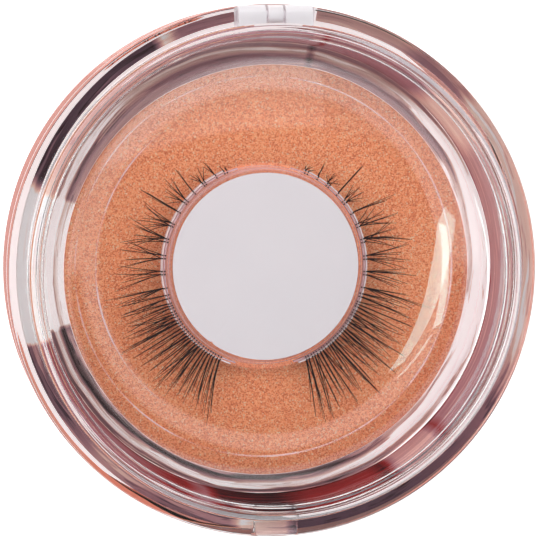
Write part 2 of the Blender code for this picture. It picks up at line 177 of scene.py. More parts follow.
def clear_finish(name, colour, ior, roughness=0.0, clear=1.0):
    """Clear plastic. It refracts what is seen through it, and lets light for what is under it straight through."""
    finish = Finish(bpy.data.materials.new(name))
    x, y, z = finish.place()
    flow = finish.noise(finish.vector(x * 0.12, y * 0.12, z * 0.5), 1.0, 2.0)
    bump = finish.node("ShaderNodeBump", None, {"Strength": 0.02, "Distance": 0.02 * MM, "Height": flow})
    plastic = finish.principled(
        Base_Color=colour, Roughness=roughness, IOR=ior, Transmission_Weight=clear, Normal=bump
    )
    path = finish.node("ShaderNodeLightPath")
    through = finish.math("MAXIMUM", path.out("Is Shadow Ray"), path.out("Is Diffuse Ray"))
    open_air = finish.node("ShaderNodeBsdfTransparent", None, {"Color": colour})
    return finish.ends_in(finish.node("ShaderNodeMixShader", None, {0: through, 1: plastic, 2: open_air}))


def turned(outline):
    """A bmesh spun about Z from (radius, height, rounding) corners. One that meets the axis starts and ends on it."""
    bm = bmesh.new()
    corners = [bm.verts.new((r * MM, 0, z * MM)) for r, z, _ in outline]
    pairs = list(zip(corners, corners[1:]))
    if outline[0][0] > 0:
        pairs.append((corners[-1], corners[0]))
    edges = [bm.edges.new(pair) for pair in pairs]
    bmesh.ops.spin(bm, geom=corners + edges, angle=math.tau, steps=TURN_STEPS, axis=(0, 0, 1), use_merge=True)
    bmesh.ops.remove_doubles(bm, verts=bm.verts, dist=0.0005 * MM)
    bmesh.ops.recalc_face_normals(bm, faces=bm.faces)
    for rounding in sorted({c[2] for c in outline} - {0}):
        wanted = [(r * MM, z * MM) for r, z, size in outline if size == rounding]
        rims = [e for e in bm.edges if any(all(at(v, r, z) for v in e.verts) for r, z in wanted)]
        round_off(bm, rims, rounding)
    return bm


def at(vert, radius, height):
    return abs(vert.co.xy.length - radius) < 0.003 * MM and abs(vert.co.z - height) < 0.003 * MM


def round_off(bm, edges, size, segments=3):
    bmesh.ops.bevel(
        bm, geom=edges, offset=size * MM, segments=segments, profile=0.5, affect="EDGES", material=-1
    )


def piece(name, bm, *finishes, shift=(0, 0, 0)):
    """The bmesh as an object of its own at the origin, smooth but for its sharp edges."""
    bmesh.ops.translate(bm, vec=Vector(shift) * MM, verts=bm.verts)
    mesh = bpy.data.meshes.new(name)
    bm.to_mesh(mesh)
    bm.free()
    for finish in finishes:
        mesh.materials.append(finish)
    mesh.shade_smooth()
    mesh.set_sharp_from_angle(angle=SHARP_ANGLE)
    obj = bpy.data.objects.new(name, mesh)
    bpy.context.scene.collection.objects.link(obj)
    return obj


def coat_finish():
    """Matte rose with redder glossy patches, one full of dark flecks, and painted light and a painted glow where it
    runs under.
    """
    finish = Finish(bpy.data.materials.new("rose_coat"))
    x, y, z = finish.place()
    turn = finish.math("ARCTAN2", y, x) * (180 / math.pi)
    # The flecked patch is at the back left and the plain red one at the front left, and the right side is paler
    grain = finish.noise(finish.vector(x, y, z), 0.9, 4.0, 0.6)
    flecks = finish.noise(finish.vector(x, y, z * 2.0), 2.4, 3.0, 0.7).above(0.56, 0.05)
    thin = turn.within(104.0, 131.0, 8.0) * grain.above(0.40, 0.2)
    lower = finish.math("ABSOLUTE", turn + 125.0).above(11.0, 6.0)
    red = finish.math("MAXIMUM", thin, (1 - lower) * 0.8)
    colour = finish.mix(red, COAT, COAT_RED)
    colour = finish.mix(thin * flecks, colour, COAT_FLECK)
    colour = finish.mix(turn.within(-80.0, 85.0, 40.0) * 0.5, colour, COAT_PALE)
    # Where the coat runs under the ring's edge, a lighter colour and an emission glow are painted light from above
    run = z.within(9.55, 9.65, 0.02) * (1 - thin * flecks)
    colour = finish.mix(run * 0.6 * (1 - red), colour, COAT_PAINTED_LIGHT)
    painted_glow = finish.mix(run, DARK, COAT_PAINTED_GLOW)
    return finish.ends_in(finish.principled(
        Base_Color=colour, Roughness=0.6 - red * 0.35, Specular_IOR_Level=0.12,
        Emission_Color=painted_glow, Emission_Strength=1.0,
    ))


def colour_side(bm, low, high):
    """Put the rose coat on the outer side between two heights."""
    for face in bm.faces:
        middle = face.calc_center_median() / MM
        if middle.xy.length > SIDE_FOOT - 0.05 and abs(face.normal.z) < 0.5 and low < middle.z < high:
            face.material_index = 1


clear_plastic = clear_finish("clear_acrylic", ACRYLIC, ACRYLIC_IOR)
rose_coat = coat_finish()
milky_plastic = clear_finish("milky_hinge_plastic", MILKY, ACRYLIC_IOR, 0.3, 0.35)
dish_mesh = turned([
    (0, FOOT_HEIGHT, 0), (30.4, FOOT_HEIGHT, 0), (FOOT_INNER, 0.0, 0.08), (FOOT_OUTER, 0.0, 0), (SIDE_FOOT, 0.8, 0.3),
    (CASE_RADIUS, WALL_TOP, 0.12), (WELL_RADIUS, WALL_TOP, 0.12), (WELL_RADIUS, WELL_FLOOR, 0.3), (0, WELL_FLOOR, 0),
])
colour_side(dish_mesh, 0.7, WALL_TOP)
dish = piece("clear_dish", dish_mesh, clear_plastic, rose_coat)
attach(dish, "base")
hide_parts("base_shell")


# ---------------------------------------------------------------------------------------------- The liner
# One strip of rose metallised film with a foot round the card and a wall. It is bent round inside the well with its
# ends meeting at a seam near the hinge. It is wavy, as thin film is, opens a little at the top, and has a matte back.

LINER_THICKNESS = 0.3
LINER_RADIUS = 30.55
LINER_MOUTH = 31.35
LINER_TOP = 11.85
FOOT_FOLD = 30.3
FOOT_LEVEL = 2.25
SEAM = math.radians(77.0)
SEAM_SWING = 0.02 / 31
LINER_STEPS = 360
FOOT_EDGE = 27.26
CARD_SHIFT = Vector((0.3, -0.45, 0))
# Foil colours from black to pale; the darkest and palest of them serve the painted reflections
FOIL_BLACK = (0.020, 0.003, 0.005, 1)
FOIL_GREY = (0.19, 0.105, 0.105, 1)
FOIL_MAROON = (0.30, 0.022, 0.022, 1)
FOIL_MAUVE = (0.42, 0.200, 0.230, 1)
FOIL_ROSE = (0.74, 0.42, 0.38, 1)
FOIL_SALMON = (0.93, 0.66, 0.56, 1)
FOIL_PALE = (0.97, 0.95, 0.95, 1)
# How light the foot and the wall are from azimuth to azimuth in degrees, from 0, black, to 1, pale, with the dark
# seam at 77, and how light the painted mirrored lines are, across the strip
# But for the seam, these tones and lines are painted reflections of the studio over the foil's own rose colour
FOOT_TONES = (
    (-180, 1.0), (-164.2, 1.0), (-163.4, 0.42), (-120, 0.44), (-108, 0.42), (-72, 0.42), (-58, 0.62), (-40, 0.85),
    (-20, 1.0), (18, 1.0), (30, 0.80), (44, 0.56), (60, 0.50), (76.6, 0.50), (76.7, -0.6), (77.3, -0.6), (77.4, 0.52),
    (112, 0.50), (124, 0.56), (150, 0.66), (160.6, 0.70), (161.4, 1.0), (180, 1.0),
)
FOOT_LINES = (
    (0.0, 0.40), (0.03, 0.30), (0.09, 0.10), (0.12, 0.50), (0.16, 0.95), (0.20, 0.85), (0.225, 0.35), (0.265, 0.40),
    (0.285, 0.95), (0.300, 0.5), (1.0, 0.5),
)
WALL_LINES = ((0.0, 0.5), (0.29, 0.5), (0.305, 0.25), (0.33, 0.25), (0.35, 0.5), (1.0, 0.5))
WALL_TONES = (
    (-180, 0.85), (-164.2, 0.85), (-163.4, 0.30), (-130, 0.34), (-112, 0.18), (-107, 0.36), (-103, 0.05),
    (-88, 0.03), (-80, 0.17), (-64, 0.19), (-60, 0.06), (-57, 0.50), (-46, 0.50), (-44, 0.20), (-41, 0.42),
    (10, 0.49), (28, 0.50), (34, 0.64), (46, 0.66), (52, 0.38), (76.6, 0.40), (76.7, -0.3), (77.3, -0.3),
    (77.4, 0.44), (112, 0.46), (130, 0.55), (160.6, 0.60), (161.4, 0.85), (180, 0.85),
)


def along(points, step):
    """Points about step apart on the way from point to point."""
    way = []
    for (r, z), (r_next, z_next) in zip(points, points[1:]):
        count = max(1, round(math.hypot(r_next - r, z_next - z) / step))
        way += [(r + (r_next - r) * i / count, z + (z_next - z) * i / count) for i in range(count)]
    return [*way, points[-1]]


def foil_finish(name, plum, tones, streaks=0.5, lines=((0.0, 0.5), (1.0, 0.5)), glow=0.0, ribs=0.0, metal=0.4):
    """Metallised film: a soft mirror with painted reflections, streaked along its length, lighter and darker by
    azimuth, ribbed in front.
    """
    finish = Finish(bpy.data.materials.new(name))
    x, y, z = finish.place()
    radius = finish.math("SQRT", x * x + y * y)
    cos, sin = x / radius, y / radius
    turn = finish.math("ARCTAN2", y, x) * (1 / math.tau) + 0.5
    # Apart from the seam, the tones by azimuth are painted reflections of the studio over the foil's rose
    stops = [((azimuth + 180) / 360, (tone, tone, tone, 1)) for azimuth, tone in tones]
    painted_reflection_tone = finish.ramp(turn, stops[0], stops[-1], *stops[1:-1])
    across = radius + z
    wander = finish.noise(finish.vector(cos * 1.6, sin * 1.6, 0.0), 1.0, 2.0)
    greys = [(place, (tone, tone, tone, 1)) for place, tone in lines]
    drift = (wander - 0.5) * 0.12 + (across - 29.35) / 12.0
    line = finish.ramp(drift, greys[0], greys[-1], *greys[1:-1])
    # The streaks, pale and dark lines along the film, are painted reflections too
    long_streaks = finish.noise(finish.vector(cos * 2.0, sin * 2.0, across * 1.2 + wander * 3.0), 1.0, 1.0, 0.5)
    fine_streaks = finish.noise(finish.vector(cos * 5.0, sin * 5.0, across * 3.6 + wander * 6.0), 1.0, 2.0, 0.6)
    painted_dark_streaks = fine_streaks.above(0.60, 0.06)
    painted_pale_streaks = long_streaks.above(0.60, 0.08)
    pattern = ((fine_streaks - 0.5) * 0.5 + painted_pale_streaks * 0.7 - painted_dark_streaks * 0.6) * streaks + (line - 0.5)
    tone = painted_reflection_tone + pattern * (1 - painted_reflection_tone.above(0.84, 0.16) * 0.3) * (1 - turn.within(0.63, 0.87, 0.05) * 0.6)
    colour = finish.ramp(
        tone, (0.02, FOIL_BLACK), (0.90, FOIL_PALE), (0.20, plum), (0.42, FOIL_MAUVE), (0.58, FOIL_ROSE),
        (0.72, FOIL_SALMON),
    )
    brush = finish.noise(finish.vector(x, y, z), 1.6, 3.0, 0.6)
    height = long_streaks * 0.8 + fine_streaks * 0.3 + brush * 0.1
    if ribs:
        rib = finish.math("SINE", turn * ribs + fine_streaks * 3.0) * 0.5
        height = height + rib * turn.within(0.20, 0.46, 0.06) * 0.5
    bump = finish.node("ShaderNodeBump", None, {"Strength": 0.4, "Distance": 0.12 * MM, "Height": height})
    # Where the painted tone is pale, emission set by glow adds a painted glow
    painted_glow = finish.mix(tone.above(0.80, 0.3), DARK, (glow, glow * 0.96, glow * 0.95, 1))
    return finish.ends_in(finish.principled(
        Base_Color=colour, Metallic=metal, Roughness=0.3, Specular_IOR_Level=metal, Normal=bump,
        Emission_Color=painted_glow, Emission_Strength=1.0,
    ))


def ripple(bm, up, depth, length):
    """Let film wave, up and down where it lies flat, or in and out where it stands."""
    for vert in bm.verts:
        way = Vector((vert.co.x, vert.co.y, 0)).normalized()
        z = vert.co.z / MM
        wave = noise.noise(Vector((way.x * length, way.y * length, z * 0.35)))
        fine = noise.noise(Vector((way.x * length * 4, way.y * length * 4, z * 0.8 + 7)))
        if up or z > FOOT_LEVEL + 0.25:
            vert.co += (Vector((0, 0, 1)) if up else way) * (wave * 0.7 + fine * 0.3) * depth * MM


profile = along([
    (FOOT_EDGE, FOOT_LEVEL), (FOOT_FOLD, FOOT_LEVEL), (30.47, 2.33), (LINER_RADIUS, 2.5), (LINER_RADIUS, 8.9),
    (LINER_MOUTH, LINER_TOP),
], 0.5)
liner_mesh = bmesh.new()
start = SEAM + SEAM_SWING / 2
strip = [liner_mesh.verts.new((r * MM * math.cos(start), r * MM * math.sin(start), z * MM)) for r, z in profile]
strip += [liner_mesh.edges.new(pair) for pair in zip(strip, strip[1:])]
bmesh.ops.spin(liner_mesh, geom=strip, angle=math.tau - SEAM_SWING, steps=LINER_STEPS, axis=(0, 0, 1))
bmesh.ops.recalc_face_normals(liner_mesh, faces=liner_mesh.faces)
for vert in liner_mesh.verts:
    share = (FOOT_FOLD - vert.co.xy.length / MM) / (FOOT_FOLD - FOOT_EDGE)
    vert.co += CARD_SHIFT * MM * max(0.0, share)
ripple(liner_mesh, False, 0.16, 3.0)
if sum(f.normal.z for f in liner_mesh.faces) < 0:
    bmesh.ops.reverse_faces(liner_mesh, faces=liner_mesh.faces)
bmesh.ops.solidify(liner_mesh, geom=liner_mesh.faces[:], thickness=LINER_THICKNESS * MM)
for face in liner_mesh.faces:
    face.material_index = 2 if face.normal.z < -0.5 else int(face.calc_center_median().z > 2.3 * MM)
# The foot gets a painted glow where it is pale
liner = piece("foil_liner", liner_mesh,
              foil_finish("rose_foil_foot", FOIL_GREY, FOOT_TONES, 0.45, FOOT_LINES, glow=0.4),
              foil_finish("rose_foil_wall", FOIL_MAROON, WALL_TONES, 0.12, WALL_LINES, metal=0.0), rose_coat)
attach(liner, "base")
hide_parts("wall_liner")


# ---------------------------------------------------------------------------------------- The foil ring
# A flat ring of the same film that lies on the top of the wall, under the ring that follows. It is cut away at the
# hinge, it lies a little off centre, and it shows through the ledge as the rose band round the lid.

HINGE_CUT = 5.2
FOIL_RING_INNER = 33.1
FOIL_RING_OUTER = 34.3
FOIL_RING_LOW = 9.15
FOIL_RING_HIGH = 9.45
FOIL_RING_SHIFT = (0.6, 0.05, 0)
FOIL_PURPLE = (0.12, 0.060, 0.085, 1)
# How light the foil ring is by azimuth: painted reflections of the studio, such as the pale block at the left and the
# bright line at 115
RING_TONES = (
    (-180, 1.0), (-164.2, 1.0), (-163.4, 0.30), (-145, 0.28), (-132, 0.52), (-106, 0.24), (-99, 0.24), (-97, 0.72),
    (-87, 0.60), (-85, 0.18), (-60, 0.20), (-34, 0.34), (-20, 0.62), (-8, 0.74), (38, 0.74), (43, 0.40), (54, 0.38),
    (60, 0.58), (80, 0.56), (99, 0.46), (112, 0.40), (115, 0.90), (118, 0.10), (138, 0.20), (158, 0.06), (162, 1.0),
    (180, 0.95),
)

edge_of_cut = math.asin(HINGE_CUT / 33.4)
foil_ring_mesh = bmesh.new()
start = math.pi / 2 + edge_of_cut
section = [(FOIL_RING_INNER, FOIL_RING_LOW), (FOIL_RING_OUTER, FOIL_RING_LOW)]
section += [(r, FOIL_RING_HIGH) for r in (FOIL_RING_OUTER, 34.0, 33.7, 33.4, FOIL_RING_INNER)]
end = foil_ring_mesh.faces.new(
    [foil_ring_mesh.verts.new((r * MM * math.cos(start), r * MM * math.sin(start), z * MM)) for r, z in section]
)
bmesh.ops.spin(foil_ring_mesh, geom=[end, *end.verts, *end.edges], angle=math.tau - 2 * edge_of_cut,
               steps=LINER_STEPS, axis=(0, 0, 1))
bmesh.ops.recalc_face_normals(foil_ring_mesh, faces=foil_ring_mesh.faces)
ripple(foil_ring_mesh, True, 0.10, 5.0)
ring_foil = foil_finish("rose_foil_ring", FOIL_PURPLE, RING_TONES, 0.3, ribs=1300.0, metal=0.22)
foil_ring = piece("rim_foil_ring", foil_ring_mesh, ring_foil, shift=FOIL_RING_SHIFT)
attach(foil_ring, "base")
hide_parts("rim_foil")


# ------------------------------------------------------------------------------------------ The rim ring
# A clear ring that is bonded on the dish's wall, cut back below for the foil ring. The coat of the side has run a
# little under its edge. It carries the hinge pocket with the centre knuckle, and the thumb recess at the front.

RING_INNER = 31.85
RING_TOP = 12.0
RING_BOTTOM = 9.6
LAND_RADIUS = 32.4
LAND_BOTTOM = 9.15
COAT_EDGE = 34.3
COAT_RUN = 0.55
CEMENT_PAINTED_PALE = (0.84, 0.80, 0.83, 1)
POCKET_BACK = 32.2
POCKET_FLOOR = 10.8
RECESS_HALF = 3.1
RECESS_FLOOR = 11.5
KNUCKLE_RADIUS = 1.2
HINGE_Y = 33.7
HINGE_Z = 12.3
PIN_BORE = 0.59


def block(low, high):
    """A box between two corners."""
    bm = bmesh.new()
    bmesh.ops.create_cube(bm, size=MM)
    middle = [(a + b) / 2 * MM for a, b in zip(low, high)]
    bmesh.ops.scale(bm, vec=[b - a for a, b in zip(low, high)], verts=bm.verts)
    bmesh.ops.translate(bm, vec=middle, verts=bm.verts)
    return bm


def rod(radius, x_from, x_to, rounding=0.0):
    """A round rod on the hinge's axis."""
    bm = bmesh.new()
    bmesh.ops.create_cone(
        bm, segments=48, radius1=radius * MM, radius2=radius * MM, depth=(x_to - x_from) * MM, cap_ends=True
    )
    if rounding:
        ends = [e for e in bm.edges if abs(e.verts[0].co.z - e.verts[1].co.z) < 1e-9]
        round_off(bm, ends, rounding)
    bmesh.ops.rotate(bm, verts=bm.verts, cent=(0, 0, 0), matrix=Matrix.Rotation(math.pi / 2, 3, "Y"))
    bmesh.ops.translate(bm, vec=((x_from + x_to) / 2 * MM, HINGE_Y * MM, HINGE_Z * MM), verts=bm.verts)
    return bm


def combined(bm, *steps):
    """The bmesh after each (operation, other bmesh) has joined it or been cut from it."""
    base = piece("work", bm)
    helpers = [base]
    for operation, other in steps:
        helper = piece("work", other)
        helpers.append(helper)
        joining = base.modifiers.new("work", "BOOLEAN")
        joining.operation, joining.solver, joining.object = operation, "EXACT", helper
    result = bmesh.new()
    result.from_mesh(bpy.data.meshes.new_from_object(base.evaluated_get(bpy.context.evaluated_depsgraph_get())))
    for helper in helpers:
        bpy.data.objects.remove(helper)
    return result


ring_mesh = combined(
    turned([
        (RING_INNER, LAND_BOTTOM, 0.1), (LAND_RADIUS, LAND_BOTTOM, 0), (LAND_RADIUS, RING_BOTTOM, 0),
        (COAT_EDGE, RING_BOTTOM, 0), (CASE_RADIUS, RING_BOTTOM, 0.1),
        (CASE_RADIUS, RING_TOP, 0.3), (RING_INNER, RING_TOP, 0.2),
    ]),
    ("DIFFERENCE", block((-HINGE_CUT, POCKET_BACK, POCKET_FLOOR), (HINGE_CUT, 39, 20))),
    ("UNION", block((-0.97, 32.5, 10.2), (0.97, 34.9, HINGE_Z - 0.02))),
    ("UNION", rod(KNUCKLE_RADIUS, -1.0, 1.0, 0.12)),
    ("DIFFERENCE", rod(PIN_BORE, -2.0, 2.0)),
    ("DIFFERENCE", block((-RECESS_HALF, -39, RECESS_FLOOR), (RECESS_HALF, -32.1, 20))),
)
for face in ring_mesh.faces:
    middle = face.calc_center_median() / MM
    if abs(middle.x) < HINGE_CUT + 0.1 and middle.y > POCKET_BACK - 0.1 and middle.z > POCKET_FLOOR - 0.1:
        face.material_index = 2
    elif middle.z < LAND_BOTTOM + 0.05 and middle.xy.length < LAND_RADIUS:
        face.material_index = 3
    elif middle.z < RING_BOTTOM + 0.01 and middle.xy.length > COAT_EDGE:
        face.material_index = 1
colour_side(ring_mesh, RING_BOTTOM + 0.05, RING_TOP - 0.05)
# The coat has run furthest under the edge at the front left, and at the back left
for vert in ring_mesh.verts:
    if vert.co.z < (RING_BOTTOM + 0.01) * MM and abs(vert.co.xy.length / MM - COAT_EDGE) < 0.01:
        turn = math.degrees(math.atan2(vert.co.y, vert.co.x)) % 360
        run = max((36 - abs(turn - 218)) / 14, (17 - abs(turn - 118)) / 6, 0.0)
        vert.co.xy *= 1 + COAT_RUN / COAT_EDGE * (1 - min(run, 1.0))
# The cement under the land is opaque and pale: partly the bond itself, partly painted light for the bright ring seen
# through the ledge
pale_painted_cement = clear_finish("pale_painted_cement", CEMENT_PAINTED_PALE, ACRYLIC_IOR, 0.5, 0.0)
ring = piece("rim_ring_clear", ring_mesh, clear_plastic, rose_coat, milky_plastic, pale_painted_cement)
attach(ring, "base")
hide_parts("rim_ring")


# --------------------------------------------------------------------------------------- The glitter card
# A round card faced with fine copper glitter in clear varnish. It is dropped into the well with the liner's foot
# round it, and it is what gives the case its colour.

GRAIN = 0.15
CARD_RADIUS = 27.2
CARD_LOW = 1.95
CARD_HIGH = 2.25
COPPER = (0.96, 0.315, 0.125, 1)
COPPER_LIGHT = (1.0, 0.50, 0.25, 1)
COPPER_DEEP = (0.62, 0.130, 0.040, 1)
PAINTED_GLINT = (1.0, 0.76, 0.50, 1)
GLITTER_PAINTED_GLOW = (0.30, 0.105, 0.060, 1)


def glitter_finish():
    """Metal flakes, each of its own brightness, with pale painted glints, and a painted glow under the boss's edge,
    where the label's shade falls.
    """
    finish = Finish(bpy.data.materials.new("copper_glitter"))
    x, y, z = finish.place()
    flat = finish.vector(x, y, 0.0)
    flakes = finish.node("ShaderNodeTexVoronoi", None, {"Vector": flat, "Scale": 1 / GRAIN}, out="Color")
    shine = finish.node("ShaderNodeSeparateColor", None, {0: flakes})
    # A few flakes get a painted glint of pale colour
    painted_glint = shine.out("Green").above(0.95, 0.03)
    cloud = finish.noise(flat, 0.08, 3.0, 0.5)
    colour = finish.ramp(
        shine * 0.9 + cloud * 0.3 - 0.1, (0.0, COPPER_DEEP), (1.0, COPPER_LIGHT), (0.5, COPPER)
    )
    colour = finish.mix(painted_glint * 0.8, colour, PAINTED_GLINT)
    # A painted glow by emission lifts the label's shade on the ring under the boss's edge
    radius = finish.math("SQRT", x * x + y * y)
    painted_glow = finish.mix(radius.within(11.8, 13.7, 0.5), DARK, GLITTER_PAINTED_GLOW)
    return finish.ends_in(finish.principled(
        Base_Color=colour, Metallic=0.1, Roughness=0.42 - painted_glint * 0.15, Specular_IOR_Level=0.3,
        Emission_Color=painted_glow, Emission_Strength=1.0,
    ))


card_mesh = turned([
    (0, CARD_LOW, 0), (CARD_RADIUS, CARD_LOW, 0.06), (CARD_RADIUS, CARD_HIGH, 0.06), (0, CARD_HIGH, 0),
])
card = piece("glitter_card_faced", card_mesh, glitter_finish(), shift=CARD_SHIFT)
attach(card, "base")
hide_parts("glitter_card")


# ------------------------------------------------------------------------------------------- The lash tray
# Thin clear sheet, thermoformed with a foot, a raised ridge, a step and the round boss that the lashes wrap. It
# is dropped in over the card and lifts out by hand.

TRAY_THICKNESS = 0.4
TRAY_FLOOR = 2.8
TRAY_SHIFT = (-0.2, 0.22, 0)
STEP_TOP = 4.2
RIDGE_TOP = 5.6
BOSS_TOP = 5.4
BOSS_RADIUS = 12.95
FILM = (0.99, 0.975, 0.975, 1)
FILM_PAINTED_SHEEN = (0.93, 0.76, 0.80, 1)


def film_finish():
    """Thin clear sheet: what is under it shows straight through, its slopes mirror, and a painted pale sheen and
    painted highlight rings lie on it.
    """
    finish = Finish(bpy.data.materials.new("clear_film"))
    x, y, z = finish.place()
    radius = finish.math("SQRT", x * x + y * y)
    boss = 1 - radius.above(14.0, 0.5)
    # Two thin rings of painted highlight, broken up by noise, stand in for light caught on the sheet's folds
    highlight_breaks = finish.noise(finish.vector(x * 0.1, y * 0.1, 3.0), 1.0, 2.0, 0.6).above(0.50, 0.3)
    outer = radius.within(25.0, 25.2, 0.06) * (highlight_breaks * 0.3 + 0.04)
    inner = radius.within(22.2, 22.4, 0.06) * (x * -1).above(16.0, 8.0) * (highlight_breaks * 0.4 + 0.1)
    normal = finish.node("ShaderNodeNewGeometry", out="Normal")
    facing = finish.math("ABSOLUTE", finish.node("ShaderNodeSeparateXYZ", None, {0: normal}, out="Z"))
    steep = 1 - facing.above(0.80, 0.34)
    sheen = finish.math("MINIMUM", finish.node("ShaderNodeFresnel", None, {"IOR": 1.40}), 0.3)
    clear = finish.node("ShaderNodeBsdfTransparent", None, {"Color": FILM})
    # The pale lavender mixed in on slopes and near the boss is a painted sheen, for light the sheet's edges catch
    milky = finish.principled(Base_Color=FILM_PAINTED_SHEEN, Roughness=0.12, Specular_IOR_Level=0.8)
    share = finish.math("MAXIMUM", sheen * (0.4 + boss * 0.6), steep * (0.07 + boss * 0.25) + outer + inner)
    return finish.ends_in(finish.node("ShaderNodeMixShader", None, {0: share, 1: clear, 2: milky}))


tray_mesh = turned([
    (0, BOSS_TOP, 0), (BOSS_RADIUS, BOSS_TOP, 0.35), (13.15, TRAY_FLOOR, 0.25), (23.05, TRAY_FLOOR, 0.3),
    (26.1, STEP_TOP, 0.3), (26.7, STEP_TOP, 0.25), (27.6, RIDGE_TOP, 0.35), (28.9, RIDGE_TOP, 0.35),
    (29.65, TRAY_FLOOR, 0.2), (30.25, TRAY_FLOOR, 0),
])
if sum(f.normal.z for f in tray_mesh.faces) < 0:
    bmesh.ops.reverse_faces(tray_mesh, faces=tray_mesh.faces)
bmesh.ops.solidify(tray_mesh, geom=tray_mesh.faces[:], thickness=TRAY_THICKNESS * MM)
tray = piece("lash_tray_film", tray_mesh, film_finish(), shift=TRAY_SHIFT)
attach(tray, "base")
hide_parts("lash_tray")


# ---------------------------------------------------------------------------------------- The centre label
# A die-cut disc of satin paper, stuck on the boss. Its face is left plain, and the cutter left a nick in its edge.

LABEL_RADIUS = 12.4
LABEL_LOW = 5.55
LABEL_HIGH = 5.70
PAPER = (0.725, 0.668, 0.690, 1)
PAPER_SHADE = (0.695, 0.645, 0.67, 1)
NICK = math.radians(234.0)
NICK_WIDTH = 0.3
NICK_DEPTH = 0.018


def paper_finish():
    finish = Finish(bpy.data.materials.new("white_paper"))
    x, y, z = finish.place()
    fibres = finish.noise(finish.vector(x, y, z), 6.0, 5.0, 0.65)
    cloud = finish.noise(finish.vector(x, y, 0.0), 0.12, 2.0, 0.5)
    colour = finish.mix(cloud.above(0.5, 0.4) * 0.5, PAPER, PAPER_SHADE)
    bump = finish.node("ShaderNodeBump", None, {"Strength": 0.08, "Distance": 0.01 * MM, "Height": fibres})
    return finish.ends_in(finish.principled(Base_Color=colour, Roughness=0.55, Normal=bump))


label_mesh = turned([
    (0, LABEL_LOW, 0), (LABEL_RADIUS, LABEL_LOW, 0), (LABEL_RADIUS, LABEL_HIGH, 0.03), (0, LABEL_HIGH, 0),
])
for vert in label_mesh.verts:
    away = abs(math.atan2(vert.co.y, vert.co.x) % math.tau - NICK) * LABEL_RADIUS
    if away < NICK_WIDTH and vert.co.xy.length > (LABEL_RADIUS - 0.2) * MM:
        vert.co.xy *= 1 - NICK_DEPTH * (1 - away / NICK_WIDTH)
label = piece("centre_label_paper", label_mesh, paper_finish(), shift=TRAY_SHIFT)
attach(label, "base")
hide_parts("centre_label")


# ---------------------------------------------------------------------------------------- The lash bands
# The clear flexible band of each strip lash, pressed against the boss. Its ends are cut square and stand clear of
# the hairs.

BAND_LOW = 3.8
BAND_HIGH = 4.8
BAND_INNER = 13.27
BAND_OUTER = 13.47
BACKING_INNER = 13.59
BACKING_OUTER = 13.79
BAND_TURNS = (15.5, 163.0)
BACKING_TURNS = (23.0, 160.5)
BAND_TINT = (0.86, 0.68, 0.76, 1)
# The backing's paler tint is partly its cloudy plastic and partly a painted highlight along the slice's edge
BACKING_TINT_AND_HIGHLIGHT = (1.0, 0.90, 0.91, 1)
BAND_CLEAR = (0.98, 0.93, 0.94, 1)


def band_finish(name, tint, body):
    """Cloudy flexible plastic: partly see-through, with a soft shine."""
    finish = Finish(bpy.data.materials.new(name))
    x, y, z = finish.place()
    cloud = finish.noise(finish.vector(x, y, z), 1.5, 3.0, 0.6)
    clear = finish.node("ShaderNodeBsdfTransparent", None, {"Color": BAND_CLEAR})
    cloudy = finish.principled(Base_Color=tint, Roughness=0.3, Specular_IOR_Level=0.5)
    share = (cloud - 0.5) * 0.35 + body
    return finish.ends_in(finish.node("ShaderNodeMixShader", None, {0: share, 1: clear, 2: cloudy}))


band_clear = band_finish("band_clear", BAND_TINT, 0.42)
# The backing is paler and more solid than the band, which paints the highlight along its edge
backing_clear = band_finish("backing_clear", BACKING_TINT_AND_HIGHLIGHT, 0.62)


def strip_of_band(inner, outer, turns, side):
    """A strip on edge round the boss, between two angles from its back, with its edges rounded."""
    bm = bmesh.new()
    begin = math.pi / 2 - side * math.radians(turns[0])
    corners = [(inner, BAND_LOW), (outer, BAND_LOW), (outer, BAND_HIGH), (inner, BAND_HIGH)]
    end = bm.faces.new(
        [bm.verts.new((r * MM * math.cos(begin), r * MM * math.sin(begin), z * MM)) for r, z in corners]
    )
    swing = -side * math.radians(turns[1] - turns[0])
    bmesh.ops.spin(bm, geom=[end, *end.verts, *end.edges], angle=swing, steps=120, axis=(0, 0, 1))
    bmesh.ops.recalc_face_normals(bm, faces=bm.faces)
    ridges = [e for e in bm.edges if abs(e.calc_face_angle(0)) > 1.0]
    round_off(bm, ridges, 0.05, 2)
    return bm


for lash_side, lash_name in ((-1, "left"), (1, "right")):
    strip = strip_of_band(BAND_INNER, BAND_OUTER, BAND_TURNS, lash_side)
    band = piece(f"{lash_name}_band_clear", strip, band_clear, shift=TRAY_SHIFT)
    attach(band, "base")
    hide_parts(f"{lash_name}_lash_band")


# ---------------------------------------------------------------------------------------- The lash hairs
# Fine tapered synthetic hairs, knotted in tufts to the outer slice of the band. They are sparse fans with lone
# spikes at the back, and close swept tufts at the front.

HAIR_ROOT = 0.054
HAIR_TIP = 0.020
HAIR_POINTS = 8
KNOT = 0.14
HAIR_COLOUR = (0.010, 0.004, 0.004, 1)
HAIR_BROWN = (0.060, 0.022, 0.016, 1)

